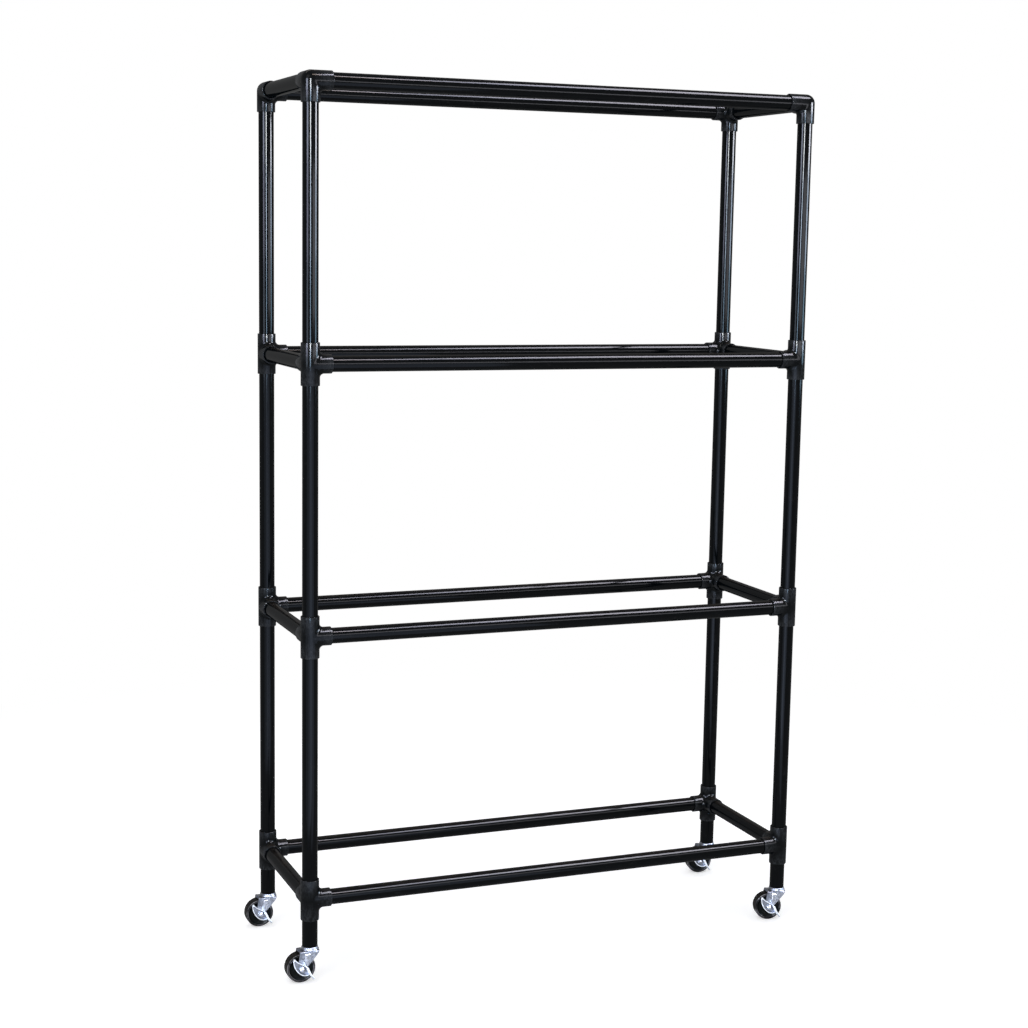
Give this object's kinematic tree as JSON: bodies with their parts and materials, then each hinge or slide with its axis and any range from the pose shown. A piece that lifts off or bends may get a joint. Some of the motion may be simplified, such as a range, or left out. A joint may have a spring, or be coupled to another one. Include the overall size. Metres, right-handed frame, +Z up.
{
  "type": "exercise ball rack",
  "caption": "Rolling storage rack of black plastic pipe with open shelves, each a front and rear rail between end rungs, that cradle exercise balls, on swivel castors with brake levers.",
  "frame": {"origin": "on the floor, at the centre of the bounding box seen from above", "axes": "+Z up, +X along the rack to its right as seen from the front, +Y from the front to the rear; the castors trail towards -X, the right-hand pair turned 14 and 12 degrees towards the rear"},
  "size_m": [1.217, 0.42, 1.9144],
  "materials": {
    "pipe": "glossy black extruded plastic pipe",
    "fitting": "semi-gloss black moulded plastic",
    "zinc": "bright zinc plated stamped steel",
    "bright_steel": "bright zinc plated turned steel",
    "bushing_steel": "plain oiled steel",
    "wheel": "hard black rubber, semi-gloss"
  },
  "bodies": {
    "frame": {"leg_front_left": "pipe", "lower_post_front_left": "pipe", "middle_post_front_left": "pipe", "upper_post_front_left": "pipe", "leg_rear_left": "pipe", "lower_post_rear_left": "pipe", "middle_post_rear_left": "pipe", "upper_post_rear_left": "pipe", "leg_front_right": "pipe", "lower_post_front_right": "pipe", "middle_post_front_right": "pipe", "upper_post_front_right": "pipe", "leg_rear_right": "pipe", "lower_post_rear_right": "pipe", "middle_post_rear_right": "pipe", "upper_post_rear_right": "pipe", "bottom_shelf_front_rail": "pipe", "bottom_shelf_rear_rail": "pipe", "bottom_shelf_left_end_rung": "fitting", "bottom_shelf_right_end_rung": "fitting", "lower_shelf_front_rail": "pipe", "lower_shelf_rear_rail": "pipe", "lower_shelf_left_end_rung": "fitting", "lower_shelf_right_end_rung": "fitting", "upper_shelf_front_rail": "pipe", "upper_shelf_rear_rail": "pipe", "upper_shelf_left_end_rung": "fitting", "upper_shelf_right_end_rung": "fitting", "top_shelf_front_rail": "pipe", "top_shelf_rear_rail": "pipe", "top_shelf_left_end_rung": "fitting", "top_shelf_right_end_rung": "fitting", "castor_stem_front_left": "bright_steel", "castor_stem_rear_left": "bright_steel", "castor_stem_front_right": "bright_steel", "castor_stem_rear_right": "bright_steel"},
    "castor_swivel_front_left": {"castor_fork_front_left": "zinc", "axle_bolt_front_left": "bright_steel", "axle_nut_front_left": "bright_steel", "wheel_bushing_front_left": "bushing_steel"},
    "castor_wheel_front_left": {"wheel_front_left": "wheel"},
    "castor_brake_front_left": {"brake_lever_front_left": "zinc"},
    "castor_swivel_rear_left": {"castor_fork_rear_left": "zinc", "axle_bolt_rear_left": "bright_steel", "axle_nut_rear_left": "bright_steel", "wheel_bushing_rear_left": "bushing_steel"},
    "castor_wheel_rear_left": {"wheel_rear_left": "wheel"},
    "castor_brake_rear_left": {"brake_lever_rear_left": "zinc"},
    "castor_swivel_front_right": {"castor_fork_front_right": "zinc", "axle_bolt_front_right": "bright_steel", "axle_nut_front_right": "bright_steel", "wheel_bushing_front_right": "bushing_steel"},
    "castor_wheel_front_right": {"wheel_front_right": "wheel"},
    "castor_brake_front_right": {"brake_lever_front_right": "zinc"},
    "castor_swivel_rear_right": {"castor_fork_rear_right": "zinc", "axle_bolt_rear_right": "bright_steel", "axle_nut_rear_right": "bright_steel", "wheel_bushing_rear_right": "bushing_steel"},
    "castor_wheel_rear_right": {"wheel_rear_right": "wheel"},
    "castor_brake_rear_right": {"brake_lever_rear_right": "zinc"}
  },
  "joints": [
    {"name": "swivel_front_left", "type": "hinge", "parent": "frame", "child": "castor_swivel_front_left", "pos_m": [-0.55477, -0.17398, 0.069], "axis": [0, 0, 1], "continuous": true},
    {"name": "wheel_spin_front_left", "type": "hinge", "parent": "castor_swivel_front_left", "child": "castor_wheel_front_left", "pos_m": [-0.57677, -0.17398, 0.03175], "axis": [0, 1, 0], "continuous": true},
    {"name": "brake_release_front_left", "type": "hinge", "parent": "castor_swivel_front_left", "child": "castor_brake_front_left", "pos_m": [-0.57677, -0.17398, 0.03175], "axis": [0, -1, 0], "range_deg": [0, 45]},
    {"name": "swivel_rear_left", "type": "hinge", "parent": "frame", "child": "castor_swivel_rear_left", "pos_m": [-0.55477, 0.18162, 0.069], "axis": [0, 0, 1], "continuous": true},
    {"name": "wheel_spin_rear_left", "type": "hinge", "parent": "castor_swivel_rear_left", "child": "castor_wheel_rear_left", "pos_m": [-0.57677, 0.18162, 0.03175], "axis": [0, 1, 0], "continuous": true},
    {"name": "brake_release_rear_left", "type": "hinge", "parent": "castor_swivel_rear_left", "child": "castor_brake_rear_left", "pos_m": [-0.57677, 0.18162, 0.03175], "axis": [0, -1, 0], "range_deg": [0, 45]},
    {"name": "swivel_front_right", "type": "hinge", "parent": "frame", "child": "castor_swivel_front_right", "pos_m": [0.58823, -0.17398, 0.069], "axis": [0, 0, 1], "continuous": true},
    {"name": "wheel_spin_front_right", "type": "hinge", "parent": "castor_swivel_front_right", "child": "castor_wheel_front_right", "pos_m": [0.56688, -0.16866, 0.03175], "axis": [0.2419, 0.9703, 0], "continuous": true},
    {"name": "brake_release_front_right", "type": "hinge", "parent": "castor_swivel_front_right", "child": "castor_brake_front_right", "pos_m": [0.56688, -0.16866, 0.03175], "axis": [-0.2419, -0.9703, 0], "range_deg": [0, 45]},
    {"name": "swivel_rear_right", "type": "hinge", "parent": "frame", "child": "castor_swivel_rear_right", "pos_m": [0.58823, 0.18162, 0.069], "axis": [0, 0, 1], "continuous": true},
    {"name": "wheel_spin_rear_right", "type": "hinge", "parent": "castor_swivel_rear_right", "child": "castor_wheel_rear_right", "pos_m": [0.56671, 0.18619, 0.03175], "axis": [0.2079, 0.9781, 0], "continuous": true},
    {"name": "brake_release_rear_right", "type": "hinge", "parent": "castor_swivel_rear_right", "child": "castor_brake_rear_right", "pos_m": [0.56671, 0.18619, 0.03175], "axis": [-0.2079, -0.9781, 0], "range_deg": [0, 45]}
  ]
}
